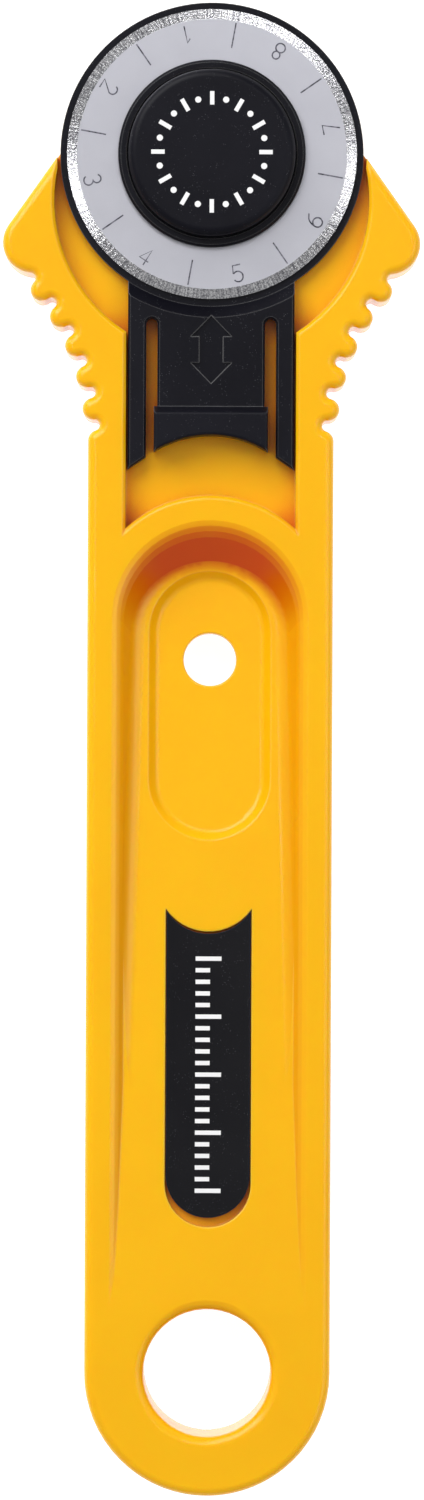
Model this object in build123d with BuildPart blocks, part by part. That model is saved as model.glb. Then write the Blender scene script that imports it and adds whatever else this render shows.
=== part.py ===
from build123d import *
import math
import os

os.makedirs("parts", exist_ok=True)

# The cutter lies on its back: front face up (+Z), head towards +Y, the rim of its back on z = 0.
# Every "reach" below is a distance along the handle, from the blade's pivot towards the tail.

# ---- driving sizes, mm ----

# handle, outside
handle_width = 23.7
handle_thickness = 10.0
tail_reach = 117.7
wing_reach = 8.3
wing_angle = 35.3
wing_tip_reach = 8.63
head_rise = 11.2
front_round = 0.8
back_round = 0.4

# finger notches down both flanks
notch_count = 6
notch_pitch = 8.13
notch_first = 3.5
notch_depth = 1.5
lobe_radius = 1.05
shoulder_radius = 1.0
flank_reach = 27.6
flank_gap = 21.65
flank_radius = 22.8

# handle, recesses in the front
recess_radius = 15.2
recess_reach = 4.44
recess_depth = 2.6
recess_edge = 0.3
channel_half = 8.2
channel_end = 36.2
channel_bow = 3.2
dish_half = 8.75
dish_start = 36.1
dish_deep = 40.9
dish_fade = 111.5
dish_depth = 2.8
dish_side_lean = 30.0
dish_end_lean = 52.0
dish_round = 1.6
dish_rims = ((-0.85, -0.05), (-0.35, 0.12), (-0.12, 0.35), (0.12, 1.1))
thumb_half = 5.15
thumb_start = 41.0
thumb_end = 65.5
thumb_depth = 0.9
thumb_slope = 50.0
thumb_round = 0.6
label_half = 4.15
label_start = 72.9
label_bow = 2.2
label_end = 103.6
label_depth = 0.8
label_end_gap = 0.8

# handle, hollow back
wall = 2.0
web = 2.8
rib = 1.2
rib_rise = 0.6
cross_ribs = 4
boss_wall = 1.6
nut_room = 9.6

# holes through the handle
hanging_radius = 6.15
hanging_round = 0.9
pin_radius = 2.55
pin_reach = 48.8

# blade and guard
blade_radius = 14.0
blade_thickness = 0.3
blade_bore = 5.0
bevel_width = 0.97
edge_share = 0.2
guard_radius = 14.65
guard_plate = 1.2
tongue_thickness = 2.15
tongue_half = 8.03
step_inner = 14.7
step_outer = 15.8
leg_width = 1.75
leg_reach = 30.5
leg_slant = 1.2
slit_width = 1.1
slit_reach = 15.9
ridge_half = 5.5
ridge_start = 24.4
ridge_end = 28.8
ridge_bow = 1.6
ridge_height = 1.5
ridge_slope = 0.6
ridge_round = 0.3
tongue_edge = 0.2
arrow_reach = 18.9
arrow_length = 6.6
arrow_width = 4.0
arrow_shaft = 2.3
arrow_head = 2.05
arrow_depth = 0.25
guard_travel = 3.3

# bolt, cap and nut
neck_width = 5.6
neck_length = 8.0
stud_radius = 2.0
stud_inset = 0.3
stud_edge = 0.4
bolt_head_radius = 4.0
bolt_head_height = 1.5
cap_radius = 9.05
cap_height = 1.0
cap_edge = 0.25
cap_well_radius = 8.25
cap_well_depth = 0.6
face_radius = 8.05
face_height = 1.9
face_round = 0.75
washer_radius = 6.0
washer_thickness = 0.9
washer_edge = 0.15
cone_radius = 4.6
cone_thickness = 0.4
cone_height = 0.75
nut_across = 7.0
nut_height = 2.2
knob_radius = 7.4
knob_height = 2.5
knob_flutes = 12
flute_radius = 1.1
knob_edge = 0.3

# fits
running = 0.05
slide_gap = 0.1
seat_gap = 0.05
disc_gap = 0.3
back_clear = 0.3
tiny = 0.001

# ---- derived places ----

handle_half = handle_width / 2
wing_span = handle_width + 2 * wing_reach
flank_side = handle_half + flank_gap
pivot_y = (tail_reach + handle_half - guard_radius) / 2
pivot = Plane(origin=(0, pivot_y, 0))
floor_z = handle_thickness - recess_depth
web_z = floor_z - web
guard_z = floor_z + seat_gap
blade_z = guard_z + guard_plate + slide_gap
cap_z = blade_z + blade_thickness + seat_gap
well_z = cap_z + cap_height - cap_well_depth
pivot_axis = Axis((0, pivot_y, 0), (0, 0, 1))


def up(height):
    """The sketch plane through the pivot, raised to the given height."""
    return pivot.offset(height)


# ---- handle outline: a chain of arcs that touch, worked out from the sizes above ----


def flank(angle, radius):
    """A point about the centre of the hollow flank; the angle rises from the side."""
    turn = math.radians(angle)
    return Vector(flank_side - radius * math.cos(turn), -flank_reach + radius * math.sin(turn))


def touch(centre_a, radius_a, centre_b, radius_b):
    """Where two circles that touch from outside meet."""
    return centre_a + (centre_b - centre_a) * (radius_a / (radius_a + radius_b))


lobe_ring = flank_radius - notch_depth + lobe_radius
half_pitch = math.cos(math.radians(notch_pitch / 2))
chord = lobe_ring**2 + flank_radius**2 - 2 * lobe_ring * flank_radius * half_pitch
notch_radius = (chord - lobe_radius**2) / (2 * (lobe_radius + flank_radius - lobe_ring * half_pitch))
notch_ring = flank_radius - notch_radius
notch_angles = [notch_first + notch_pitch * k for k in range(notch_count)]
notches = [flank(angle, notch_ring) for angle in notch_angles]
lobes = [flank(angle + notch_pitch / 2, lobe_ring) for angle in notch_angles[:-1]]

# The shoulder is tangent to the handle's side and to the lowest notch.
shoulder_x = handle_half - shoulder_radius
shoulder_gap = shoulder_radius + notch_radius
shoulder_drop = math.sqrt(shoulder_gap**2 - (notches[0].X - shoulder_x) ** 2)
shoulder = Vector(shoulder_x, notches[0].Y - shoulder_drop)

# The wing's tip is tangent to the span and to the highest notch, and its upper edge to the tip.
tip_side = wing_span / 2 - notches[-1].X
tip_rise = wing_tip_reach + notches[-1].Y
tip_radius = (tip_side**2 + tip_rise**2 - notch_radius**2) / (2 * (tip_side + notch_radius))
tip = Vector(wing_span / 2 - tip_radius, -wing_tip_reach)
wing_cos = math.cos(math.radians(wing_angle))
wing_sin = math.sin(math.radians(wing_angle))
wing_normal = Vector(wing_cos, wing_sin)
wing_offset = tip.dot(wing_normal) + tip_radius

# The head's arc is tangent to both wings' upper edges.
head_drop = (wing_offset - head_rise) / (1 - wing_sin)
head_radius = head_rise + head_drop
head = Vector(0, -head_drop)
head_join = head + wing_normal * head_radius

with BuildSketch(up(0)) as outline:
    with BuildLine():
        ThreePointArc((0, head_rise), head + Vector(0.5, math.sqrt(0.75)) * head_radius, head_join)
        Line(head_join, tip + wing_normal * tip_radius)
        tip_end = touch(tip, tip_radius, notches[-1], notch_radius)
        ThreePointArc(tip + wing_normal * tip_radius, tip + Vector(tip_radius, 0), tip_end)
        last = tip_end
        for k in reversed(range(notch_count)):
            if k > 0:
                notch_end = touch(notches[k], notch_radius, lobes[k - 1], lobe_radius)
            else:
                notch_end = touch(notches[0], notch_radius, shoulder, shoulder_radius)
            ThreePointArc(last, flank(notch_angles[k], flank_radius), notch_end)
            last = notch_end
            if k > 0:
                lobe_top = flank(notch_angles[k] - notch_pitch / 2, flank_radius - notch_depth)
                lobe_end = touch(lobes[k - 1], lobe_radius, notches[k - 1], notch_radius)
                ThreePointArc(last, lobe_top, lobe_end)
                last = lobe_end
        side_start = shoulder + Vector(shoulder_radius, 0)
        half_way = ((last - shoulder).normalized() + Vector(1, 0)).normalized()
        ThreePointArc(last, shoulder + half_way * shoulder_radius, side_start)
        Line(side_start, (handle_half, -tail_reach))
        tail_45 = handle_half * math.sqrt(0.5)
        tail_middle = (tail_45, -tail_reach - tail_45)
        ThreePointArc((handle_half, -tail_reach), tail_middle, (0, -tail_reach - handle_half))
        mirror(about=Plane.YZ)
    make_face()

# ---- cutters for the handle ----

# The dish's floor starts deep at the head end and rises until it meets the front face.
floor_angle = math.degrees(math.atan(dish_depth / (dish_fade - dish_deep)))
dish_floor = Plane(
    origin=(0, pivot_y - dish_deep, handle_thickness - dish_depth),
    x_dir=(1, 0, 0),
    z_dir=(0, math.sin(math.radians(floor_angle)), math.cos(math.radians(floor_angle))),
)


dish_tail = tail_reach + 2 * handle_half
dish_over = 3.0


def dish_slot(rise, flare):
    """The dish's outline at a height above the front face, as the start, tail and half width of a slot."""
    start = dish_start - rise * math.tan(math.radians(dish_end_lean)) - flare
    half = dish_half + rise * math.tan(math.radians(dish_side_lean)) + flare
    return start, half


def is_dish_floor(face):
    """Whether a cutter's face is the one that makes a floor parallel to the dish's."""
    return face.normal_at().dot(dish_floor.z_dir) < -0.99


dish_low = -dish_depth - 1
with BuildPart() as dish:
    for rise in (dish_low, dish_over):
        with BuildSketch(up(handle_thickness + rise)):
            start, half = dish_slot(rise, 0)
            with Locations((0, -(start + dish_tail) / 2)):
                SlotOverall(dish_tail - start, 2 * half, rotation=90)
    loft(ruled=True)
    split(bisect_by=dish_floor, keep=Keep.TOP)
    fillet(dish.faces().filter_by(is_dish_floor).edges(), dish_round)

# Steps that grow flatter round off the edge between the dish's walls and the front face.
with BuildPart() as dish_flare:
    for rise, flare in dish_rims:
        with BuildSketch(up(handle_thickness + rise)):
            start, half = dish_slot(rise, flare)
            with Locations((0, -(start + dish_tail) / 2)):
                SlotOverall(dish_tail - start, 2 * half, rotation=90)
    loft(ruled=True)
    split(bisect_by=dish_floor, keep=Keep.TOP)


def on_dish(lift):
    """A plane parallel to the dish's floor, lifted off it, with the pivot's line as its zero."""
    return dish_floor.offset(lift)


def dish_y(reach):
    """A reach along the handle, as a place on the dish's floor."""
    return (dish_deep - reach) / math.cos(math.radians(floor_angle))


# The thumb's hollow is a smaller racetrack sunk into the dish's floor, with sloping walls.
thumb_top = 1.5 * thumb_depth
with BuildPart() as thumb:
    with BuildSketch(on_dish(-thumb_depth)):
        with Locations((0, dish_y((thumb_start + thumb_end) / 2))):
            SlotOverall(thumb_end - thumb_start, 2 * thumb_half, rotation=90)
    extrude(amount=thumb_top, taper=thumb_slope - 90)
    fillet(thumb.faces().filter_by(is_dish_floor).edges(), thumb_round)


def label_shape(gap, end_gap):
    """The label's outline: straight sides, a round tail end and a hollow head end."""
    half = label_half - gap
    top = dish_y(label_start + 2 * gap)
    bottom = dish_y(label_end - end_gap - label_half)
    with BuildSketch() as shape:
        with BuildLine():
            ThreePointArc((-half, top), (0, top - label_bow), (half, top))
            Line((half, top), (half, bottom))
            ThreePointArc((half, bottom), (0, bottom - half), (-half, bottom))
            Line((-half, bottom), (-half, top))
        make_face()
    return shape.sketch


label_recess = label_shape(0, 0)
label_face = label_shape(slide_gap, label_end_gap)

# The front recess holds the guard's disc over its whole travel, and its channel guides the tongue.
disc_room = guard_radius + disc_gap
with BuildPart() as recess:
    with BuildSketch(up(floor_z)):
        with Locations((0, -recess_reach)):
            Circle(recess_radius)
        Circle(disc_room)
        with BuildLine():
            Line((-channel_half, 0), (channel_half, 0))
            Line((channel_half, 0), (channel_half, -channel_end))
            ThreePointArc(
                (channel_half, -channel_end), (0, channel_bow - channel_end), (-channel_half, -channel_end)
            )
            Line((-channel_half, -channel_end), (-channel_half, 0))
        make_face()
    extrude(amount=handle_thickness)

# The hollow back: its ceiling stays one web below the recess, then follows the dish's floor.
tail_end = tail_reach + handle_half
ceiling_rise = (tail_end - dish_deep) * math.tan(math.radians(floor_angle))
with BuildPart() as hollow:
    with BuildSketch(Plane.YZ.offset(-wing_span)):
        with BuildLine():
            Polyline(
                (pivot_y + tail_end, 0),
                (pivot_y + tail_end, web_z),
                (pivot_y - dish_deep, web_z),
                (pivot_y - tail_end, web_z + ceiling_rise),
                (pivot_y - tail_end, 0),
                close=True,
            )
        make_face()
    extrude(amount=2 * wing_span)
    with BuildSketch(up(0)):
        add(outline.sketch_local)
        offset(amount=-wall, kind=Kind.ARC)
    extrude(amount=handle_thickness, mode=Mode.INTERSECT)


# ---- handle: one moulded shell, open at the back, with ribs and with tubes round its holes ----

hanging_tube = hanging_radius + hanging_round + boss_wall
pin_tube = pin_radius + boss_wall
spine_start = pin_reach + pin_radius
spine_end = tail_reach - hanging_radius
cross_gap = (spine_end - spine_start) / (cross_ribs + 1)
cross_reaches = [spine_start + cross_gap * (k + 1) for k in range(cross_ribs)]
with BuildPart() as ribs:
    with BuildSketch(up(rib_rise)):
        with Locations((0, -(spine_start + spine_end) / 2)):
            Rectangle(rib, spine_end - spine_start)
        with Locations([(0, -reach) for reach in cross_reaches]):
            Rectangle(handle_width, rib)
        with Locations((0, -channel_end)):
            Rectangle(2 * wing_span, rib)
    extrude(amount=handle_thickness)
    with BuildSketch(up(0)):
        with Locations((0, -tail_reach)):
            Circle(hanging_tube)
        with Locations((0, -pin_reach)):
            Circle(pin_tube)
    extrude(amount=handle_thickness)
    add(hollow.part, mode=Mode.INTERSECT)


def is_recess_rim(edge):
    """Whether an edge is on the front face and round the recess or beside its channel."""
    middle = edge.center() - Vector(0, pivot_y, handle_thickness)
    if abs(middle.Z) > tiny or middle.Y < channel_bow - channel_end - tiny:
        return False
    if edge.geom_type == GeomType.LINE:
        return abs(abs(middle.X) - channel_half) < tiny
    is_round = edge.geom_type == GeomType.CIRCLE
    return is_round and (abs(middle.X) < tiny or abs(edge.radius - recess_radius) < tiny)


with BuildPart() as handle:
    add(outline.sketch)
    extrude(amount=handle_thickness)
    fillet(handle.faces().sort_by(Axis.Z)[-1].edges(), front_round)
    fillet(handle.faces().sort_by(Axis.Z)[0].edges(), back_round)
    add(dish.part, mode=Mode.SUBTRACT)
    add(dish_flare.part, mode=Mode.SUBTRACT)
    add(thumb.part, mode=Mode.SUBTRACT)
    with BuildSketch(on_dish(-label_depth)):
        add(label_recess)
    extrude(amount=2 * label_depth, mode=Mode.SUBTRACT)
    add(recess.part, mode=Mode.SUBTRACT)
    add(hollow.part, mode=Mode.SUBTRACT)
    # The back's rim is left off above the pivot, so that fingers reach the nut.
    with BuildSketch(up(0)):
        Circle(nut_room)
        with Locations((0, wing_span / 2)):
            Rectangle(2 * nut_room, wing_span)
    extrude(amount=web_z, mode=Mode.SUBTRACT)
    add(ribs.part)
    # The keyed hole stops the bolt from turning.
    with BuildSketch(up(web_z)):
        Circle(neck_length / 2 + running)
        Rectangle(neck_width + 2 * running, neck_length + 1, mode=Mode.INTERSECT)
    extrude(amount=web, mode=Mode.SUBTRACT)
    with BuildSketch(up(0)):
        with Locations((0, -tail_reach)):
            Circle(hanging_radius)
        with Locations((0, -pin_reach)):
            Circle(pin_radius)
    extrude(amount=handle_thickness, mode=Mode.SUBTRACT)
    hanging_rims = handle.edges().filter_by(GeomType.CIRCLE)
    hanging_rims = hanging_rims.filter_by(lambda e: abs(e.radius - hanging_radius) < tiny)
    fillet(hanging_rims.sort_by(Axis.Z)[-1], hanging_round)
    chamfer(handle.edges().filter_by(is_recess_rim), recess_edge)
handle.part.label = "handle"
export_step(handle.part, "parts/handle.step")

# ---- label: a thin plastic plate set into the dish's floor ----

with BuildPart() as label_plate:
    with BuildSketch(on_dish(-label_depth + seat_gap)):
        add(label_face)
    extrude(amount=label_depth - 2 * seat_gap)
label_plate.part.label = "label_plate"
export_step(label_plate.part, "parts/label_plate.step")

# ---- blade guard: a disc under the blade, with a tongue that slides in the handle's channel ----

tongue_top = guard_z + tongue_thickness
ridge_top = tongue_top + ridge_height
bow_radius = (ridge_half**2 + ridge_bow**2) / (2 * ridge_bow)
slit_x = tongue_half - leg_width - slit_width / 2
slit_length = ridge_end + slit_width - slit_reach
slit_middle = slit_reach + slit_length / 2

with BuildSketch() as arrow:
    with BuildLine():
        shaft_end = arrow_length / 2 - arrow_head
        Polyline(
            (arrow_shaft / 2, shaft_end),
            (arrow_width / 2, shaft_end),
            (0, arrow_length / 2),
            (-arrow_width / 2, shaft_end),
            (-arrow_shaft / 2, shaft_end),
        )
        Line((arrow_shaft / 2, shaft_end), (arrow_shaft / 2, 0))
        Line((-arrow_shaft / 2, shaft_end), (-arrow_shaft / 2, 0))
        mirror(about=Plane.XZ)
    make_face()

with BuildSketch() as neck:
    Circle(neck_length / 2)
    Rectangle(neck_width, neck_length, mode=Mode.INTERSECT)

with BuildSketch() as neck_hole:
    add(neck.sketch)
    offset(amount=seat_gap)


def is_tongue_rim(edge):
    """Whether an edge is on the tongue's top face and beside the slits or the channel."""
    middle = edge.center()
    return abs(middle.Z - tongue_top) < tiny and abs(middle.X) > slit_x - slit_width


with BuildPart() as blade_guard:
    with BuildSketch(up(guard_z)):
        Circle(guard_radius)
    extrude(amount=guard_plate)
    with BuildSketch(up(guard_z)):
        with BuildLine():
            Polyline(
                (tongue_half, 0),
                (tongue_half, -leg_reach),
                (tongue_half - leg_width, leg_slant - leg_reach),
                (tongue_half - leg_width, -ridge_end),
                (-tongue_half + leg_width, -ridge_end),
                (-tongue_half + leg_width, leg_slant - leg_reach),
                (-tongue_half, -leg_reach),
                (-tongue_half, 0),
                close=True,
            )
        make_face()
    extrude(amount=tongue_thickness)
    # The tongue rises from the disc by a sloping step round the blade.
    with BuildSketch(Plane.XZ.offset(-pivot_y)):
        with BuildLine():
            Polyline(
                (0, guard_z + guard_plate),
                (step_inner, guard_z + guard_plate),
                (step_outer, guard_z + tongue_thickness),
                (step_outer, guard_z + 2 * tongue_thickness),
                (0, guard_z + 2 * tongue_thickness),
                close=True,
            )
        make_face()
    revolve(axis=pivot_axis, mode=Mode.SUBTRACT)
    # Two slits free the pad from the legs, so that it springs.
    with BuildSketch(up(guard_z)):
        with Locations((0, -slit_middle)):
            with GridLocations(2 * slit_x, 0, 2, 1):
                SlotOverall(slit_length, slit_width, rotation=90)
    extrude(amount=tongue_thickness, mode=Mode.SUBTRACT)
    chamfer(blade_guard.edges().filter_by(is_tongue_rim), tongue_edge)
    # The thumb ridge crosses the end of the pad; its tail side is hollowed for the thumb.
    with BuildSketch(Plane.YZ.offset(-ridge_half)):
        with BuildLine():
            Polyline(
                (pivot_y - ridge_start, guard_z),
                (pivot_y - ridge_start, tongue_top),
                (pivot_y - ridge_start - ridge_slope, ridge_top),
                (pivot_y - ridge_end, ridge_top),
                (pivot_y - ridge_end, guard_z),
                close=True,
            )
        make_face()
    extrude(amount=2 * ridge_half)
    with BuildSketch(up(guard_z)):
        with Locations((0, ridge_bow - ridge_end - bow_radius)):
            Circle(bow_radius)
    extrude(amount=2 * tongue_thickness, mode=Mode.SUBTRACT)
    fillet(blade_guard.faces().sort_by(Axis.Z)[-1].edges(), ridge_round)
    # A sunk two-way arrow shows which way the guard slides.
    with BuildSketch(up(tongue_top - arrow_depth)):
        with Locations((0, -arrow_reach)):
            add(arrow.sketch)
    extrude(amount=arrow_depth, mode=Mode.SUBTRACT)
    # The long slot lets the guard slide past the bolt's neck.
    with BuildSketch(up(guard_z)):
        with Locations((0, guard_travel / 2)):
            Rectangle(neck_width + 2 * running, neck_length + guard_travel + 2 * slide_gap)
    extrude(amount=guard_plate, mode=Mode.SUBTRACT)
blade_guard.part.label = "blade_guard"
export_step(blade_guard.part, "parts/blade_guard.step")

# ---- blade: a thin steel disc, ground to an edge all round ----

bevel_inner = blade_radius - bevel_width
with BuildPart() as blade:
    with BuildSketch(Plane.XZ.offset(-pivot_y)):
        with BuildLine():
            Polyline(
                (blade_bore, blade_z),
                (bevel_inner, blade_z),
                (blade_radius, blade_z + (1 - edge_share) / 2 * blade_thickness),
                (blade_radius, blade_z + (1 + edge_share) / 2 * blade_thickness),
                (bevel_inner, blade_z + blade_thickness),
                (blade_bore, blade_z + blade_thickness),
                close=True,
            )
        make_face()
    revolve(axis=pivot_axis)
blade.part.label = "blade"
export_step(blade.part, "parts/blade.step")

# ---- bolt cap: a black flange that holds the blade down, with a boss that centres it ----

boss_bottom = guard_z + guard_plate + seat_gap
with BuildPart() as bolt_cap:
    with BuildSketch(up(cap_z)):
        Circle(cap_radius)
    extrude(amount=cap_height)
    chamfer(bolt_cap.faces().sort_by(Axis.Z)[-1].edges(), cap_edge)
    with BuildSketch(up(boss_bottom)):
        Circle(blade_bore - running)
    extrude(amount=cap_z - boss_bottom)
    with BuildSketch(up(well_z)):
        Circle(cap_well_radius)
    extrude(amount=cap_well_depth, mode=Mode.SUBTRACT)
    with BuildSketch(up(boss_bottom)):
        add(neck_hole.sketch)
    extrude(amount=well_z - boss_bottom, mode=Mode.SUBTRACT)
bolt_cap.part.label = "bolt_cap"
export_step(bolt_cap.part, "parts/bolt_cap.step")

# ---- pivot bolt: a steel head under the cap's face, a neck with two flats and a threaded stud ----

bolt_z = well_z + seat_gap
stud_bottom = back_clear + stud_inset
with BuildPart() as pivot_bolt:
    with BuildSketch(up(bolt_z)):
        Circle(bolt_head_radius)
    extrude(amount=bolt_head_height)
    with BuildSketch(up(web_z + seat_gap)):
        add(neck.sketch)
    extrude(amount=bolt_z - web_z - seat_gap)
    with BuildSketch(up(stud_bottom)):
        Circle(stud_radius)
    extrude(amount=web_z + 1 - stud_bottom)
    chamfer(pivot_bolt.faces().sort_by(Axis.Z)[0].edges(), stud_edge)
pivot_bolt.part.label = "pivot_bolt"
export_step(pivot_bolt.part, "parts/pivot_bolt.step")

# ---- cap face: the smooth disc that closes the cap over the bolt's head ----

face_z = well_z + seat_gap
with BuildPart() as cap_face:
    with BuildSketch(up(face_z)):
        Circle(face_radius)
    extrude(amount=cap_well_depth + face_height)
    fillet(cap_face.faces().sort_by(Axis.Z)[-1].edges(), face_round)
    with BuildSketch(up(face_z)):
        Circle(bolt_head_radius + slide_gap)
    extrude(amount=bolt_head_height + slide_gap, mode=Mode.SUBTRACT)
cap_face.part.label = "cap_face"
export_step(cap_face.part, "parts/cap_face.step")

# ---- flat washer and cone spring washer, behind the handle's web ----

stud_hole = stud_radius + slide_gap
washer_z = web_z - seat_gap - washer_thickness
with BuildPart() as flat_washer:
    with BuildSketch(up(washer_z)):
        Circle(washer_radius)
        Circle(stud_hole, mode=Mode.SUBTRACT)
    extrude(amount=washer_thickness)
    chamfer(flat_washer.edges().filter_by(GeomType.CIRCLE).group_by(SortBy.RADIUS)[-1], washer_edge)
flat_washer.part.label = "flat_washer"
export_step(flat_washer.part, "parts/flat_washer.step")

cone_z = washer_z - seat_gap - cone_height
with BuildPart() as spring_washer:
    with BuildSketch(Plane.XZ.offset(-pivot_y)):
        with BuildLine():
            Polyline(
                (stud_hole, cone_z + cone_height),
                (stud_hole, cone_z + cone_height - cone_thickness),
                (cone_radius, cone_z),
                (cone_radius, cone_z + cone_thickness),
                close=True,
            )
        make_face()
    revolve(axis=pivot_axis)
spring_washer.part.label = "spring_washer"
export_step(spring_washer.part, "parts/spring_washer.step")

# ---- nut: a thin steel hexagon pressed into a black knob with finger flutes ----

knob_top = cone_z - seat_gap
knob_bottom = knob_top - knob_height
insert_bottom = knob_top - nut_height
with BuildPart() as nut_insert:
    with BuildSketch(up(insert_bottom)):
        RegularPolygon(nut_across / 2, 6, major_radius=False)
        Circle(stud_radius + running, mode=Mode.SUBTRACT)
    extrude(amount=nut_height)
nut_insert.part.label = "nut_insert"
export_step(nut_insert.part, "parts/nut_insert.step")

with BuildPart() as nut_knob:
    with BuildSketch(up(knob_bottom)):
        Circle(knob_radius)
        with PolarLocations(knob_radius + flute_radius / 2, knob_flutes):
            Circle(flute_radius, mode=Mode.SUBTRACT)
    extrude(amount=knob_height)
    chamfer(nut_knob.faces().sort_by(Axis.Z)[0].edges(), knob_edge)
    with BuildSketch(up(insert_bottom)):
        RegularPolygon(nut_across / 2, 6, major_radius=False)
    extrude(amount=nut_height, mode=Mode.SUBTRACT)
    with BuildSketch(up(knob_bottom)):
        Circle(stud_radius + slide_gap)
    extrude(amount=knob_height, mode=Mode.SUBTRACT)
nut_knob.part.label = "nut_knob"
export_step(nut_knob.part, "parts/nut_knob.step")
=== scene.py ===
import math

import bmesh
import bpy
from mathutils import Matrix, Vector


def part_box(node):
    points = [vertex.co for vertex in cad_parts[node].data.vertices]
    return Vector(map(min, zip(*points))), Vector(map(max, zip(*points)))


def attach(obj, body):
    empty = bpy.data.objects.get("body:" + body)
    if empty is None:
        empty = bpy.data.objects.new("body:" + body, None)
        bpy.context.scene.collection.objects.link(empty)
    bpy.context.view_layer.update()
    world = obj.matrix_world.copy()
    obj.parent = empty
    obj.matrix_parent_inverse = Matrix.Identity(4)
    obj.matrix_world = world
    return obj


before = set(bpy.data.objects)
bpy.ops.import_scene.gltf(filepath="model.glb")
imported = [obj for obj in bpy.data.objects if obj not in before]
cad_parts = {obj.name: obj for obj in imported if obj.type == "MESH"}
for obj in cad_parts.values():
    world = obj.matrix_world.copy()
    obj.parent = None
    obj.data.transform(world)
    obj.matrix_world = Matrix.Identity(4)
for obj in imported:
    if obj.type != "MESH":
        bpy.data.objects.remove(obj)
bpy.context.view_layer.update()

# ---- Handle ----
# One injection moulding in glossy yellow plastic, open at the back, with ribs and tubes inside.
# Its colour is in the plastic and the mould leaves a faint flow pattern; its edges are painted paler as a
# highlight, and its hollows and dish walls a deeper orange as painted shade.

MM = 0.001


def feed(tree, source, socket):
    """Gives a socket a plain value, or links another node's output to it."""
    if isinstance(source, bpy.types.NodeSocket):
        tree.links.new(source, socket)
    else:
        socket.default_value = source


def put(tree, kind, **values):
    """Adds a node to a tree and feeds its inputs by name."""
    node = tree.nodes.new(kind)
    for name, value in values.items():
        feed(tree, value, node.inputs[name.replace("_", " ")])
    return node


def spread(tree, value, **limits):
    """Takes a number from one range to another, held at both ends."""
    return put(tree, "ShaderNodeMapRange", Value=value, **limits).outputs["Result"]


def combine(tree, operation, *values):
    """One number from several, by the same operation taken in turn."""
    total = values[0]
    for value in values[1:]:
        step = tree.nodes.new("ShaderNodeMath")
        step.operation = operation
        feed(tree, total, step.inputs[0])
        feed(tree, value, step.inputs[1])
        total = step.outputs["Value"]
    return total


def vector_step(tree, operation, *sources):
    """The outputs of one vector operation on its sources."""
    step = tree.nodes.new("ShaderNodeVectorMath")
    step.operation = operation
    for socket, source in zip(step.inputs, sources):
        feed(tree, source, socket)
    return step.outputs


def lay_over(tree, factor, under, over, kind="RGBA"):
    """One colour or number laid over another, as far as the factor says."""
    mix = tree.nodes.new("ShaderNodeMix")
    mix.data_type = kind
    for name, source in (("Factor", factor), ("A", under), ("B", over)):
        feed(tree, source, mix.inputs[name])
    return mix.outputs["Result"]


def new_material(name, colour, roughness, metallic=0.0):
    """A material with its node tree and its Principled shader, ready to be fed."""
    material = bpy.data.materials.new(name)
    material.use_nodes = True
    tree = material.node_tree
    shader = tree.nodes["Principled BSDF"]
    shader.inputs["Base Color"].default_value = (*colour, 1.0)
    shader.inputs["Roughness"].default_value = roughness
    shader.inputs["Metallic"].default_value = metallic
    return material, tree, shader


def make_moulded_surface():
    """Moulded plastic: a cloudy colour, an uneven gloss, a fine grain and scattered pale specks painted
    as glints.
    """
    tree = bpy.data.node_groups.new("moulded_surface", "ShaderNodeTree")
    for name, direction, kind, value in (
        ("Colour", "INPUT", "NodeSocketColor", (0.8, 0.8, 0.8, 1.0)),
        ("Shade", "INPUT", "NodeSocketColor", (0.5, 0.5, 0.5, 1.0)),
        ("Cloud Scale", "INPUT", "NodeSocketFloat", 60.0),
        ("Grain Scale", "INPUT", "NodeSocketFloat", 4000.0),
        ("Glint Speck Amount", "INPUT", "NodeSocketFloat", 0.0),
        ("Gloss Low", "INPUT", "NodeSocketFloat", 0.2),
        ("Gloss High", "INPUT", "NodeSocketFloat", 0.3),
        ("Colour Out", "OUTPUT", "NodeSocketColor", None),
        ("Roughness", "OUTPUT", "NodeSocketFloat", None),
        ("Height", "OUTPUT", "NodeSocketFloat", None),
    ):
        socket = tree.interface.new_socket(name, in_out=direction, socket_type=kind)
        if value is not None:
            socket.default_value = value
    inside = tree.nodes.new("NodeGroupInput").outputs
    outside = tree.nodes.new("NodeGroupOutput").inputs
    here = tree.nodes.new("ShaderNodeTexCoord").outputs["Object"]
    grain_scale = inside["Grain Scale"]
    cloud = put(
        tree, "ShaderNodeTexNoise", Vector=here, Scale=inside["Cloud Scale"], Detail=3.0, Roughness=0.55
    )
    grain = put(tree, "ShaderNodeTexNoise", Vector=here, Scale=grain_scale, Detail=2.0, Roughness=0.6)
    glint_specks = put(tree, "ShaderNodeTexVoronoi", Vector=here, Scale=grain_scale)
    sparse = put(tree, "ShaderNodeTexNoise", Vector=here, Scale=900.0, Detail=1.0)
    cloudy = spread(tree, cloud.outputs["Fac"], From_Min=0.35, From_Max=0.7)
    clouded = lay_over(tree, cloudy, inside["Colour"], inside["Shade"])
    # Painted glints: sparse pale specks laid into the colour stand in for light caught by the fine
    # texture.
    glint_speck_mask = combine(
        tree, "MULTIPLY",
        spread(tree, glint_specks.outputs["Distance"], From_Min=0.16, From_Max=0.05),
        spread(tree, sparse.outputs["Fac"], From_Min=0.5, From_Max=0.6),
        inside["Glint Speck Amount"],
    )
    glint_speck_colour = (0.45, 0.46, 0.5, 1.0)
    gloss = spread(tree, cloud.outputs["Fac"], To_Min=inside["Gloss Low"], To_Max=inside["Gloss High"])
    feed(tree, lay_over(tree, glint_speck_mask, clouded, glint_speck_colour), outside["Colour Out"])
    feed(tree, gloss, outside["Roughness"])
    feed(tree, grain.outputs["Fac"], outside["Height"])
    return tree


moulded_surface = make_moulded_surface()


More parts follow.
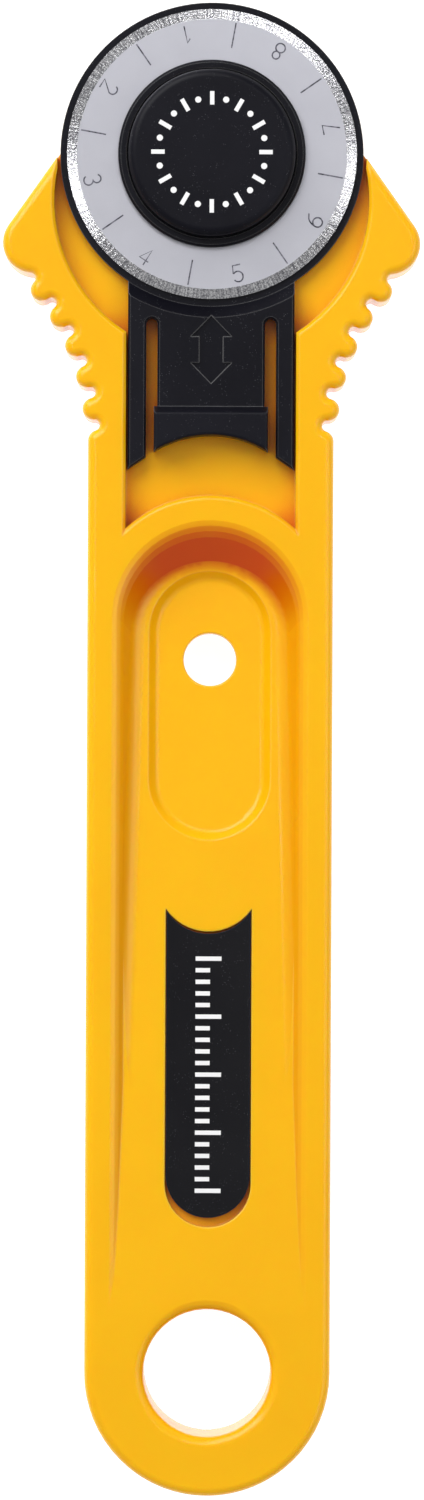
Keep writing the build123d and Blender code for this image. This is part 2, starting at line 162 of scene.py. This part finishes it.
def moulded_plastic(
    name, colour, shade, gloss, grain_scale, grain_depth, edge, glint_specks=0.0, shine=0.5, painted_edge_highlight=0.0
):
    """A moulded plastic with its own colour, gloss range, grain, painted glint specks and softened edges
    painted paler as a highlight.
    """
    material, tree, shader = new_material(name, colour, gloss[0])
    surface = tree.nodes.new("ShaderNodeGroup")
    surface.node_tree = moulded_surface
    for label, value in (
        ("Colour", (*colour, 1.0)),
        ("Shade", (*shade, 1.0)),
        ("Grain Scale", grain_scale),
        ("Glint Speck Amount", glint_specks),
        ("Gloss Low", gloss[0]),
        ("Gloss High", gloss[1]),
    ):
        surface.inputs[label].default_value = value
    soft_edge = put(tree, "ShaderNodeBevel", Radius=edge)
    soft_edge.samples = 6
    soft_normal = soft_edge.outputs["Normal"]
    bump = put(
        tree, "ShaderNodeBump", Distance=grain_depth, Height=surface.outputs["Height"], Normal=soft_normal
    )
    feed(tree, surface.outputs["Roughness"], shader.inputs["Roughness"])
    feed(tree, bump.outputs["Normal"], shader.inputs["Normal"])
    feed(tree, shine, shader.inputs["Specular IOR Level"])
    # Painted highlight: where the softened edge turns away from the flat face, the colour is painted
    # paler.
    face_normal = tree.nodes.new("ShaderNodeNewGeometry").outputs["Normal"]
    turn = vector_step(tree, "DOT_PRODUCT", soft_normal, face_normal)["Value"]
    edge_highlight_mask = spread(tree, turn, From_Min=0.99, From_Max=0.8, To_Max=painted_edge_highlight)
    edge_highlight_colour = tuple(0.6 + 0.4 * channel for channel in colour) + (1.0,)
    feed(tree, lay_over(tree, edge_highlight_mask, surface.outputs["Colour Out"], edge_highlight_colour), shader.inputs["Base Color"])
    return material


yellow_plastic = moulded_plastic(
    "yellow_plastic",
    colour=(0.95, 0.5, 0.003),
    shade=(0.92, 0.47, 0.002),
    gloss=(0.14, 0.22),
    grain_scale=2500.0,
    grain_depth=0.003 * MM,
    edge=0.3 * MM,
    shine=0.34,
    painted_edge_highlight=0.1,
)
# Light travels a little way inside the plastic, and red light travels furthest.
yellow_tree = yellow_plastic.node_tree
yellow_inputs = yellow_tree.nodes["Principled BSDF"].inputs
yellow_inputs["Subsurface Weight"].default_value = 0.35
yellow_inputs["Subsurface Radius"].default_value = (1.0, 0.3, 0.04)
yellow_inputs["Subsurface Scale"].default_value = 1.2 * MM
# Painted shade: in hollows the colour is painted a deeper orange, standing in for light bounced from
# plastic to plastic.
openness = put(yellow_tree, "ShaderNodeAmbientOcclusion", Distance=2.5 * MM)
openness.samples = 6
painted_hollow_shade = spread(yellow_tree, openness.outputs["AO"], From_Min=0.6, From_Max=0.15, To_Max=0.9)


def mask_between(tree, value, low, high, blur):
    """A mask that is one while a value is between two limits, with soft ends."""
    rise = spread(tree, value, From_Min=low - blur, From_Max=low + blur)
    fall = spread(tree, value, From_Min=high + blur, From_Max=high - blur)
    return combine(tree, "MULTIPLY", rise, fall)


# Painted shade: the dish's sloping walls are painted a deeper orange, most of all its steep head end,
# which faces away from the key lamp, and its side walls less.
dish_half = 9.7 * MM
dish_depth = 2.8 * MM
dish_wall_run = 6.0 * MM
dish_slope = dish_depth / (70.6 * MM)
dish_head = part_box("bolt_cap")[0].y - 25.85 * MM
dish_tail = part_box("handle")[0].y + 18.0 * MM
front_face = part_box("handle")[1].z
here = yellow_tree.nodes.new("ShaderNodeTexCoord").outputs["Object"]
place = put(yellow_tree, "ShaderNodeSeparateXYZ", Vector=here).outputs
facing = yellow_tree.nodes.new("ShaderNodeNewGeometry").outputs["Normal"]
lie = put(yellow_tree, "ShaderNodeSeparateXYZ", Vector=facing).outputs
in_dish = combine(
    yellow_tree, "MULTIPLY",
    mask_between(yellow_tree, place["X"], -dish_half, dish_half, 0.1 * MM),
    mask_between(yellow_tree, place["Y"], dish_tail, dish_head, 0.5 * MM),
    mask_between(yellow_tree, place["Z"], front_face - 4.0 * MM, front_face, 0.2 * MM),
)
head_wall_shade = combine(yellow_tree, "MAXIMUM", combine(yellow_tree, "MULTIPLY", lie["Y"], -1.62), 0.0)
side_facing = put(yellow_tree, "ShaderNodeMath", Value=lie["X"])
side_facing.operation = "ABSOLUTE"
side_wall_shade = combine(yellow_tree, "MULTIPLY", side_facing.outputs["Value"], 0.36)
# The shallow hollow for the thumb, sunk in the dish's floor, gets none of this painted wall shade.
dish_foot = front_face - dish_depth + (dish_head - dish_wall_run) * dish_slope
floor_rise = combine(yellow_tree, "MULTIPLY", place["Y"], dish_slope)
floor_height = combine(yellow_tree, "ADD", place["Z"], floor_rise)
past_thumb = mask_between(yellow_tree, floor_height, dish_foot, 1.0, 0.06 * MM)
wall_shade_weight = combine(yellow_tree, "ADD", head_wall_shade, side_wall_shade)
painted_wall_shade = combine(yellow_tree, "MULTIPLY", in_dish, wall_shade_weight, past_thumb)
painted_shade_amount = combine(yellow_tree, "MINIMUM", combine(yellow_tree, "MAXIMUM", painted_wall_shade, painted_hollow_shade), 1.0)
painted_shade_orange = (0.64, 0.075, 0.0, 1.0)
moulded_colour = yellow_inputs["Base Color"].links[0].from_socket
# The painted shade of hollows and dish walls is laid over the moulded colour.
feed(
    yellow_tree,
    lay_over(yellow_tree, painted_shade_amount, moulded_colour, painted_shade_orange),
    yellow_inputs["Base Color"],
)


def dress(node, material):
    """Gives a part that is shown as it was designed its one material."""
    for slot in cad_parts[node].material_slots:
        slot.material = material


dress("handle", yellow_plastic)

# ---- Label ----
# A thin black plate of satin plastic, pressed into the dish at its tail end.
# Its printed marks are a plain rule: a line with short and long strokes in white ink.

# Its pale specks and paler edges are painted glints and a painted highlight.
black_label = moulded_plastic(
    "black_label",
    colour=(0.005, 0.005, 0.007),
    shade=(0.009, 0.009, 0.011),
    gloss=(0.45, 0.6),
    grain_scale=5000.0,
    grain_depth=0.006 * MM,
    edge=0.1 * MM,
    glint_specks=0.3,
    shine=0.1,
    painted_edge_highlight=0.1,
)
dress("label_plate", black_label)

white_ink = moulded_plastic(
    "white_ink",
    colour=(0.9, 0.9, 0.9),
    shade=(0.82, 0.82, 0.83),
    gloss=(0.45, 0.6),
    grain_scale=6000.0,
    grain_depth=0.003 * MM,
    edge=0.02 * MM,
    shine=0.3,
)


def tree_with_inputs(name, entries):
    """An empty Geometry Nodes tree with named inputs and one geometry output."""
    tree = bpy.data.node_groups.new(name, "GeometryNodeTree")
    tree.interface.new_socket("Geometry", in_out="OUTPUT", socket_type="NodeSocketGeometry")
    for label, kind, value in entries:
        tree.interface.new_socket(label, in_out="INPUT", socket_type=kind).default_value = value
    return tree


def finish_tree(tree, instances, material):
    """Ends a tree: the instances are made real and get their material."""
    real = put(tree, "GeometryNodeRealizeInstances", Geometry=instances)
    painted = put(
        tree, "GeometryNodeSetMaterial", Geometry=real.outputs["Geometry"], Material=material
    )
    put(tree, "NodeGroupOutput", Geometry=painted.outputs["Geometry"])


def bake_tree(tree, name, values, place):
    """Runs a tree with the given input values and keeps its result as a plain mesh, put in place."""
    holder = bpy.data.objects.new(name + "_holder", bpy.data.meshes.new(name + "_holder"))
    bpy.context.scene.collection.objects.link(holder)
    modifier = holder.modifiers.new("nodes", "NODES")
    modifier.node_group = tree
    for item in tree.interface.items_tree:
        if item.in_out == "INPUT" and item.name in values:
            modifier[item.identifier] = values[item.name]
    bpy.context.view_layer.update()
    evaluated = holder.evaluated_get(bpy.context.evaluated_depsgraph_get())
    mesh = bpy.data.meshes.new_from_object(evaluated)
    bpy.data.objects.remove(holder)
    mesh.name = name
    mesh.transform(place)
    piece = bpy.data.objects.new(name, mesh)
    bpy.context.scene.collection.objects.link(piece)
    return piece


def make_rule_tree(material):
    """Strokes in a row, every fifth one longer, all standing on one line."""
    tree = tree_with_inputs("printed_rule", [
        ("Count", "NodeSocketInt", 21),
        ("Pitch", "NodeSocketFloat", 0.001),
        ("Short", "NodeSocketFloat", 0.001),
        ("Long", "NodeSocketFloat", 0.002),
        ("Width", "NodeSocketFloat", 0.0003),
        ("Thickness", "NodeSocketFloat", 0.00002),
    ])
    inside = tree.nodes.new("NodeGroupInput").outputs
    step = put(tree, "ShaderNodeCombineXYZ", Y=inside["Pitch"])
    line = put(tree, "GeometryNodeMeshLine", Count=inside["Count"], Offset=step.outputs["Vector"])
    index = tree.nodes.new("GeometryNodeInputIndex").outputs["Index"]
    is_long = combine(tree, "LESS_THAN", combine(tree, "MODULO", index, 5.0), 0.5)
    length = spread(tree, is_long, To_Min=inside["Short"], To_Max=inside["Long"])
    size = put(tree, "ShaderNodeCombineXYZ", X=length, Y=inside["Width"], Z=inside["Thickness"])
    unit = put(tree, "GeometryNodeMeshCube", Size=(1.0, 1.0, 1.0))
    foot = put(tree, "GeometryNodeTransform", Geometry=unit.outputs["Mesh"], Translation=(0.5, 0.0, 0.0))
    strokes = put(
        tree, "GeometryNodeInstanceOnPoints",
        Points=line.outputs["Mesh"], Instance=foot.outputs["Geometry"], Scale=size.outputs["Vector"],
    )
    finish_tree(tree, strokes.outputs["Instances"], material)
    return tree


def top_plane(node):
    """A frame on a part's topmost flat face: its origin mid-length, Z out of it, Y along the cutter."""
    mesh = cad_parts[node].data
    faces = [face for face in mesh.polygons if face.normal.z > 0.9]
    corners = [mesh.vertices[i].co for face in faces for i in face.vertices]
    normal = max(faces, key=lambda face: face.area).normal.copy()
    low_y = min(corner.y for corner in corners)
    high_y = max(corner.y for corner in corners)
    anchor = corners[0]
    centre = Vector((0.0, (low_y + high_y) / 2, 0.0))
    centre.z = anchor.z - (normal.y * (centre.y - anchor.y) + normal.x * (centre.x - anchor.x)) / normal.z
    along = Vector((0.0, normal.z, -normal.y)).normalized()
    across = along.cross(normal)
    turn = Matrix((across, along, normal)).transposed().to_4x4()
    return Matrix.Translation(centre) @ turn


ink_thickness = 0.03 * MM
rule_count = 21
rule_pitch = 1.12 * MM
rule_height = 2.5 * MM
rule_shift = Vector((-rule_height / 2, -(rule_count - 1) * rule_pitch / 2 - 1.0 * MM, 0.0))
rule_place = top_plane("label_plate") @ Matrix.Translation(rule_shift)
label_rule = bake_tree(
    make_rule_tree(white_ink),
    "label_rule",
    {
        "Count": rule_count,
        "Pitch": rule_pitch,
        "Short": 0.56 * rule_height,
        "Long": rule_height,
        "Width": 0.42 * MM,
        "Thickness": ink_thickness,
    },
    rule_place,
)
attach(label_rule, "handle")

# ---- Washers, bolt and nut insert ----
# Turned and pressed steel with a thin bright zinc plating, slightly cloudy and a little yellow.
# The bolt's head is closed in under the cap; washers and nut sit on its stud behind the handle.

plated_steel, plated_tree, plated_shader = new_material("plated_steel", (0.62, 0.6, 0.54), 0.32, 1.0)


def ramp(tree, value, low, high, low_at=0.0, high_at=1.0):
    """A colour that goes from one to another as a number rises."""
    node = put(tree, "ShaderNodeValToRGB", Fac=value)
    for element, at, colour in zip(node.color_ramp.elements, (low_at, high_at), (low, high)):
        element.position = at
        element.color = (*colour, 1.0)
    return node.outputs["Color"]


plated_here = plated_tree.nodes.new("ShaderNodeTexCoord").outputs["Object"]
plated_cloud = put(plated_tree, "ShaderNodeTexNoise", Vector=plated_here, Scale=900.0, Detail=4.0)
plated_amount = plated_cloud.outputs["Fac"]
plated_tint = ramp(plated_tree, plated_amount, (0.5, 0.47, 0.4), (0.72, 0.72, 0.7))
plated_rough = spread(plated_tree, plated_amount, To_Min=0.25, To_Max=0.42)
plated_edge = put(plated_tree, "ShaderNodeBevel", Radius=0.1 * MM)
feed(plated_tree, plated_tint, plated_shader.inputs["Base Color"])
feed(plated_tree, plated_rough, plated_shader.inputs["Roughness"])
feed(plated_tree, plated_edge.outputs["Normal"], plated_shader.inputs["Normal"])
for plated_part in ("pivot_bolt", "flat_washer", "spring_washer", "nut_insert"):
    dress(plated_part, plated_steel)

# ---- Guard and knob ----
# Black nylon, moulded in a tool with a fine satin texture; the light it catches is painted as pale
# specks, and its edges as a paler painted highlight.
# The guard's tongue slides in the handle's channel; the knob is pressed over the hexagon nut.

black_plastic = moulded_plastic(
    "black_plastic",
    colour=(0.004, 0.004, 0.007),
    shade=(0.008, 0.008, 0.013),
    gloss=(0.3, 0.42),
    grain_scale=5000.0,
    grain_depth=0.005 * MM,
    edge=0.15 * MM,
    glint_specks=0.35,
    shine=0.12,
    painted_edge_highlight=0.25,
)
dress("blade_guard", black_plastic)
dress("nut_knob", black_plastic)

# ---- Blade ----
# A disc stamped from thin tool steel, surface-ground flat, then ground to a bevel all round.
# The bevel's grinding marks run outwards; the dial is etched and turns with the blade.

blade_low, blade_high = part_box("blade")
pivot = (blade_low + blade_high) / 2
blade_radius = (blade_high.x - blade_low.x) / 2
blade_top = blade_high.z
bevel_start = blade_radius - 0.97 * MM
bevel_blur = 0.02 * MM

blade_steel, blade_tree, blade_shader = new_material("blade_steel", (0.7, 0.7, 0.77), 0.36, 0.9)
blade_here = blade_tree.nodes.new("ShaderNodeTexCoord").outputs["Object"]
from_pivot = vector_step(blade_tree, "SUBTRACT", blade_here, (pivot.x, pivot.y, 0.0))["Vector"]
flattened = vector_step(blade_tree, "MULTIPLY", from_pivot, (1.0, 1.0, 0.0))["Vector"]
radius_here = vector_step(blade_tree, "LENGTH", flattened)["Value"]
outwards = vector_step(blade_tree, "NORMALIZE", flattened)["Vector"]
bevel_mask = spread(
    blade_tree, radius_here, From_Min=bevel_start - bevel_blur, From_Max=bevel_start + bevel_blur
)
grind_marks = put(
    blade_tree, "ShaderNodeTexNoise", Vector=outwards, Scale=70.0, Detail=5.0, Roughness=0.75
).outputs["Fac"]
grind_specks = put(
    blade_tree, "ShaderNodeTexNoise", Vector=blade_here, Scale=6500.0, Detail=2.0, Roughness=0.7
).outputs["Fac"]
flat_cloud = put(
    blade_tree, "ShaderNodeTexNoise", Vector=blade_here, Scale=220.0, Detail=4.0, Roughness=0.6
).outputs["Fac"]
grinding = combine(blade_tree, "MULTIPLY", grind_marks, grind_specks)
bevel_tint = ramp(blade_tree, grinding, (0.1, 0.1, 0.13), (0.95, 0.95, 0.97), 0.12, 0.36)
flat_tint = ramp(blade_tree, flat_cloud, (0.47, 0.47, 0.52), (0.53, 0.53, 0.58))
bevel_rough = spread(blade_tree, grind_specks, To_Min=0.06, To_Max=0.18)
flat_rough = spread(blade_tree, flat_cloud, To_Min=0.34, To_Max=0.42)
bevel_relief = combine(blade_tree, "MULTIPLY", bevel_mask, grinding)
blade_bump = put(blade_tree, "ShaderNodeBump", Distance=0.012 * MM, Height=bevel_relief)
blade_colour = lay_over(blade_tree, bevel_mask, flat_tint, bevel_tint)
blade_rough = lay_over(blade_tree, bevel_mask, flat_rough, bevel_rough, "FLOAT")
feed(blade_tree, blade_colour, blade_shader.inputs["Base Color"])
feed(blade_tree, blade_rough, blade_shader.inputs["Roughness"])
feed(blade_tree, blade_bump.outputs["Normal"], blade_shader.inputs["Normal"])
dress("blade", blade_steel)

etched_line, etched_tree, etched_shader = new_material("etched_line", (0.16, 0.155, 0.18), 0.5, 0.7)
etched_here = etched_tree.nodes.new("ShaderNodeTexCoord").outputs["Object"]
etched_noise = put(etched_tree, "ShaderNodeTexNoise", Vector=etched_here, Scale=3000.0, Detail=3.0)
etched_tint = ramp(
    etched_tree, etched_noise.outputs["Fac"], (0.04, 0.04, 0.055), (0.22, 0.215, 0.26), 0.35, 0.7
)
feed(etched_tree, etched_tint, etched_shader.inputs["Base Color"])


def make_ring_tree(name, mark, material):
    """Equal marks round a circle, each with its length along the radius: a bar, or a round dot."""
    tree = tree_with_inputs(name, [
        ("Count", "NodeSocketInt", 8),
        ("Radius", "NodeSocketFloat", 0.01),
        ("Length", "NodeSocketFloat", 0.001),
        ("Width", "NodeSocketFloat", 0.0001),
        ("Thickness", "NodeSocketFloat", 0.00002),
    ])
    inside = tree.nodes.new("NodeGroupInput").outputs
    ring = put(tree, "GeometryNodeMeshCircle", Vertices=inside["Count"], Radius=inside["Radius"])
    if mark == "bar":
        shape = put(tree, "GeometryNodeMeshCube", Size=(1.0, 1.0, 1.0))
    else:
        shape = put(tree, "GeometryNodeMeshCylinder", Vertices=24, Radius=0.5, Depth=1.0)
    size = put(
        tree, "ShaderNodeCombineXYZ", X=inside["Length"], Y=inside["Width"], Z=inside["Thickness"]
    )
    position = tree.nodes.new("GeometryNodeInputPosition").outputs["Position"]
    align = put(tree, "FunctionNodeAlignRotationToVector", Vector=position)
    align.axis = "X"
    align.pivot_axis = "Z"
    marks = put(
        tree, "GeometryNodeInstanceOnPoints",
        Points=ring.outputs["Mesh"], Instance=shape.outputs["Mesh"],
        Rotation=align.outputs["Rotation"], Scale=size.outputs["Vector"],
    )
    finish_tree(tree, marks.outputs["Instances"], material)
    return tree


def on_pivot(height, degrees):
    """A place on the pivot's axis at a height, turned about it."""
    return Matrix.Translation((pivot.x, pivot.y, height)) @ Matrix.Rotation(math.radians(degrees), 4, "Z")


etch_width = 0.14 * MM
etch_thickness = 0.02 * MM
tick_inner = 10.4 * MM
tick_outer = 12.85 * MM
tick_start = 34.8
dial_count = 8
dial_ticks = bake_tree(
    make_ring_tree("etched_ticks", "bar", etched_line),
    "dial_ticks",
    {
        "Count": dial_count,
        "Radius": (tick_inner + tick_outer) / 2,
        "Length": tick_outer - tick_inner,
        "Width": etch_width,
        "Thickness": etch_thickness,
    },
    on_pivot(blade_top, tick_start),
)
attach(dial_ticks, "blade")


def sweep(centre_x, centre_y, radius_x, radius_y, start, end, steps=14):
    """Points along part of an ellipse, from one angle to another, in degrees."""
    angles = [math.radians(start + (end - start) * k / steps) for k in range(steps + 1)]
    return [(centre_x + radius_x * math.cos(a), centre_y + radius_y * math.sin(a)) for a in angles]


# Each numeral is drawn with plain strokes in a box one unit high, its foot on zero.
numeral_strokes = {
    1: [[(-0.16, 0.78), (0.04, 1.0), (0.04, 0.0)]],
    2: [sweep(0.0, 0.74, 0.27, 0.26, 165, -30) + [(-0.28, 0.0), (0.3, 0.0)]],
    3: [sweep(0.0, 0.76, 0.24, 0.24, 155, -85) + sweep(0.0, 0.26, 0.28, 0.27, 85, -155)],
    4: [[(0.14, 0.0), (0.14, 1.0), (-0.3, 0.3), (0.32, 0.3)]],
    5: [[(0.26, 1.0), (-0.2, 1.0), (-0.25, 0.55)] + sweep(0.0, 0.32, 0.29, 0.31, 135, -150)],
    6: [
        [(0.16, 1.0)]
        + sweep(0.06, 0.34, 0.34, 0.56, 115, 180, 8)
        + sweep(0.0, 0.29, 0.28, 0.28, 180, 540, 24)
    ],
    7: [[(-0.28, 1.0), (0.28, 1.0), (-0.06, 0.0)]],
    8: [sweep(0.0, 0.76, 0.22, 0.23, 0, 360, 22), sweep(0.0, 0.27, 0.28, 0.27, 0, 360, 24)],
}


def draw_strokes(name, strokes, width, thickness, place, material):
    """Makes flat strokes of even width along lists of points, as one mesh, put in place."""
    curve = bpy.data.curves.new(name, "CURVE")
    curve.dimensions = "3D"
    curve.bevel_depth = 0.5
    curve.bevel_resolution = 2
    curve.use_fill_caps = True
    for points in strokes:
        spline = curve.splines.new("POLY")
        spline.points.add(len(points) - 1)
        for target, (x, y) in zip(spline.points, points):
            target.co = (x / width, y / width, 0.0, 1.0)
    holder = bpy.data.objects.new(name, curve)
    mesh = bpy.data.meshes.new_from_object(holder)
    bpy.data.objects.remove(holder)
    mesh.transform(place @ Matrix.Diagonal((width, width, thickness, 1.0)))
    mesh.materials.clear()
    mesh.materials.append(material)
    return mesh


def join_meshes(name, meshes):
    """One object from several meshes that share a material."""
    whole = bmesh.new()
    for mesh in meshes:
        whole.from_mesh(mesh)
    joined = bpy.data.meshes.new(name)
    whole.to_mesh(joined)
    whole.free()
    joined.materials.append(meshes[0].materials[0])
    piece = bpy.data.objects.new(name, joined)
    bpy.context.scene.collection.objects.link(piece)
    return piece


numeral_height = 1.65 * MM
numeral_ring = 11.8 * MM
numeral_start = 102.3
numeral_meshes = []
for number, strokes in numeral_strokes.items():
    # The numbers run backwards round the disc and stand with their heads towards the hole.
    angle = numeral_start + (number - 1) * 360 / dial_count
    sized = [[(x * numeral_height, (y - 0.5) * numeral_height) for x, y in points] for points in strokes]
    seat = on_pivot(blade_top, angle) @ Matrix.Translation((numeral_ring, 0.0, 0.0))
    heads_in = Matrix.Rotation(math.radians(90), 4, "Z")
    numeral_meshes.append(
        draw_strokes(f"numeral_{number}", sized, etch_width, etch_thickness, seat @ heads_in, etched_line)
    )
dial_numbers = join_meshes("dial_numbers", numeral_meshes)
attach(dial_numbers, "blade")

# ---- Bolt cap and its face ----
# The same black nylon: a flange over the blade, and a raised disc that closes it.
# A ring of white printed bars and dots goes round the disc.

dress("bolt_cap", black_plastic)
dress("cap_face", black_plastic)
cap_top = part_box("cap_face")[1].z
mark_ring = 5.2 * MM
mark_length = 1.3 * MM
mark_count = 12
cap_bars = bake_tree(
    make_ring_tree("printed_bars", "bar", white_ink),
    "cap_bars",
    {
        "Count": mark_count,
        "Radius": mark_ring,
        "Length": mark_length,
        "Width": 0.42 * MM,
        "Thickness": ink_thickness,
    },
    on_pivot(cap_top, 0.0),
)
cap_dots = bake_tree(
    make_ring_tree("printed_dots", "dot", white_ink),
    "cap_dots",
    {
        "Count": mark_count,
        "Radius": mark_ring,
        "Length": 0.6 * MM,
        "Width": 0.6 * MM,
        "Thickness": ink_thickness,
    },
    on_pivot(cap_top, 180 / mark_count),
)
for printed in (cap_bars, cap_dots):
    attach(printed, "handle")

# ---- Floor, light and camera ----
# The cutter lies on a white light table, under a large soft lamp from the head's left.
# From underneath the table is clear, so the back can be seen too.

floor_half = 3.0
floor_mesh = bpy.data.meshes.new("floor")
floor_grid = bmesh.new()
bmesh.ops.create_grid(floor_grid, x_segments=1, y_segments=1, size=floor_half)
floor_grid.to_mesh(floor_mesh)
floor_grid.free()
floor = bpy.data.objects.new("floor", floor_mesh)
bpy.context.scene.collection.objects.link(floor)
floor_material, floor_tree, floor_shader = new_material("floor_white", (0.4, 0.4, 0.4), 0.7)
floor_shader.inputs["Emission Color"].default_value = (1.0, 1.0, 1.0, 1.0)
floor_shader.inputs["Emission Strength"].default_value = 0.95
floor_clear = floor_tree.nodes.new("ShaderNodeBsdfTransparent")
floor_side = floor_tree.nodes.new("ShaderNodeNewGeometry")
floor_mix = put(floor_tree, "ShaderNodeMixShader", Fac=floor_side.outputs["Backfacing"])
floor_tree.links.new(floor_shader.outputs["BSDF"], floor_mix.inputs[1])
floor_tree.links.new(floor_clear.outputs["BSDF"], floor_mix.inputs[2])
floor_tree.links.new(floor_mix.outputs["Shader"], floor_tree.nodes["Material Output"].inputs["Surface"])
floor_mesh.materials.append(floor_material)


def area_lamp(name, place, aim, width, depth, power):
    """A soft rectangular lamp at a place, pointing at another."""
    data = bpy.data.lights.new(name, "AREA")
    data.shape = "RECTANGLE"
    data.size = width
    data.size_y = depth
    data.energy = power
    lamp = bpy.data.objects.new(name, data)
    lamp.location = place
    lamp.rotation_euler = (Vector(aim) - Vector(place)).to_track_quat("-Z", "Y").to_euler()
    bpy.context.scene.collection.objects.link(lamp)
    return lamp


centre = (0.0, 0.0, 0.0)
area_lamp("key_lamp", (-0.4, 0.62, 0.66), centre, width=0.8, depth=0.8, power=9.2)
area_lamp("fill_lamp", (0.6, -0.1, 0.7), centre, width=0.6, depth=0.6, power=1.4)
# Three small cards near the camera give the ground bevel its bright stretches.
card_height = 0.8
head_place = (pivot.x + 0.07, pivot.y + 0.2, card_height)
side_place = (pivot.x - 0.2, pivot.y, card_height)
right_place = (pivot.x + 0.2, pivot.y + 0.02, card_height)
area_lamp("head_card", head_place, tuple(pivot), width=0.14, depth=0.08, power=0.3)
area_lamp("side_card", side_place, tuple(pivot), width=0.05, depth=0.07, power=0.12)
area_lamp("right_card", right_place, tuple(pivot), width=0.05, depth=0.09, power=0.09)

# The room is a little darker overhead than at eye level.
world = bpy.data.worlds.new("studio")
world.use_nodes = True
world_tree = world.node_tree
sky_direction = world_tree.nodes.new("ShaderNodeTexCoord").outputs["Generated"]
sky_height = put(world_tree, "ShaderNodeSeparateXYZ", Vector=sky_direction).outputs["Z"]
sky_strength = spread(world_tree, sky_height, To_Min=0.46, To_Max=0.34)
backdrop = world_tree.nodes["Background"].inputs
feed(world_tree, sky_strength, backdrop["Strength"])
backdrop["Color"].default_value = (1.0, 1.0, 1.0, 1.0)
bpy.context.scene.world = world
bpy.context.scene.view_settings.view_transform = "Standard"

# The camera looks straight down from far off, turned a hair, and frames the whole cutter.
view_height = 0.85
seen_length = 144.83 * MM
camera_data = bpy.data.cameras.new("camera")
camera_data.sensor_width = 36.0
camera_data.lens = camera_data.sensor_width * view_height / seen_length
camera = bpy.data.objects.new("camera", camera_data)
camera.location = (0.245 * MM, -0.1 * MM, blade_top + view_height)
camera.rotation_euler = (0.0, 0.0, math.radians(0.244))
bpy.context.scene.collection.objects.link(camera)
bpy.context.scene.camera = camera
